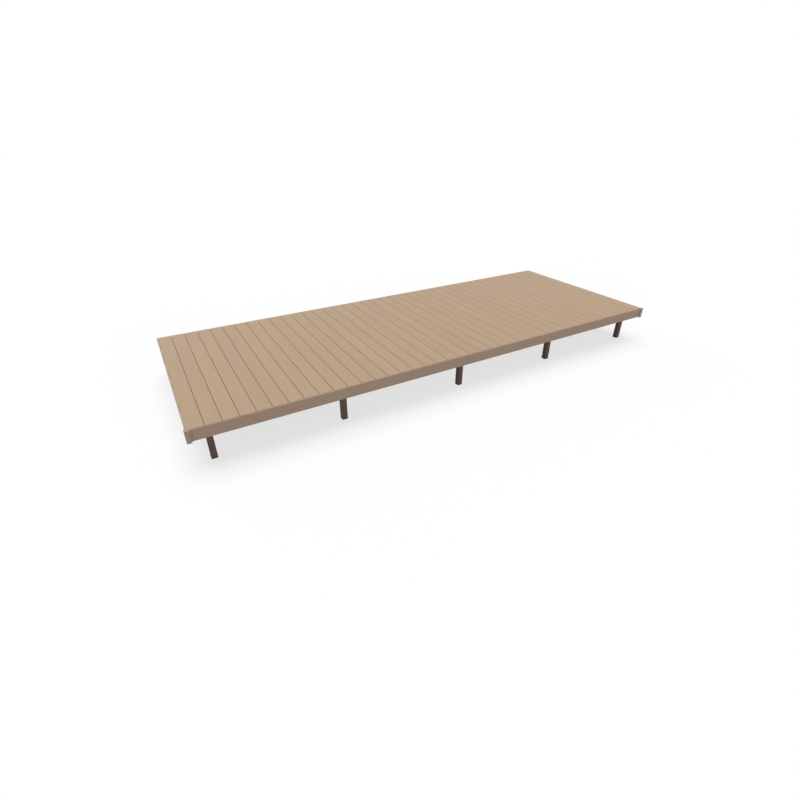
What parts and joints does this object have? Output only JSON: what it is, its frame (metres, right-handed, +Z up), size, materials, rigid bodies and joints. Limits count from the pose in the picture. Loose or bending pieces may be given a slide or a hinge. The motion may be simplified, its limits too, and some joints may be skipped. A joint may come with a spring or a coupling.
{
  "type": "composite deck",
  "caption": "Low free-standing deck of hollow composite boards on an aluminium frame with square posts, a fascia on three sides and capped front corners",
  "frame": {"origin": "on the ground, below the middle of the overall outline", "axes": "X runs along the long front, Y from the front to the house side, Z is up"},
  "size_m": [6.044, 2.269, 0.455],
  "materials": {
    "composite_board": "matt extruded wood composite, light tan, finely brushed",
    "composite_fascia": "matt extruded wood composite, light tan like the boards",
    "moulded_cap": "fine-grained tan moulding, a shade darker than the fascia",
    "dark_post": "satin dark brown coating on aluminium tube",
    "mill_aluminium": "satin mill finish",
    "galvanised_steel": "dull galvanised",
    "moulded_foot": "matt dark brown moulding",
    "black_plug": "matt black moulding"
  },
  "bodies": {
    "root": {"deck_boards_1": "composite_board", "deck_boards_2": "composite_board", "deck_boards_3": "composite_board", "deck_boards_4": "composite_board", "deck_boards_5": "composite_board", "deck_boards_6": "composite_board", "deck_boards_7": "composite_board", "deck_boards_8": "composite_board", "front_fascia": "composite_fascia", "left_fascia": "composite_fascia", "right_fascia": "composite_fascia", "fascia_end_caps": "moulded_cap", "left_corner_cap": "moulded_cap", "right_corner_cap": "moulded_cap", "joist_1": "mill_aluminium", "joist_2": "mill_aluminium", "joist_3": "mill_aluminium", "joist_4": "mill_aluminium", "joist_5": "mill_aluminium", "joist_6": "mill_aluminium", "bearer_1": "mill_aluminium", "bearer_2": "mill_aluminium", "bearer_3": "mill_aluminium", "bearer_4": "mill_aluminium", "bearer_5": "mill_aluminium", "bearer_end_caps": "black_plug", "front_posts": "dark_post", "front_post_feet": "moulded_foot", "front_post_saddles": "galvanised_steel", "middle_posts": "dark_post", "middle_post_feet": "moulded_foot", "middle_post_saddles": "galvanised_steel", "rear_posts": "dark_post", "rear_post_feet": "moulded_foot", "rear_post_saddles": "galvanised_steel", "joist_cleats": "galvanised_steel", "front_fascia_brackets": "galvanised_steel", "left_fascia_brackets": "galvanised_steel", "right_fascia_brackets": "galvanised_steel"}
  },
  "joints": []
}
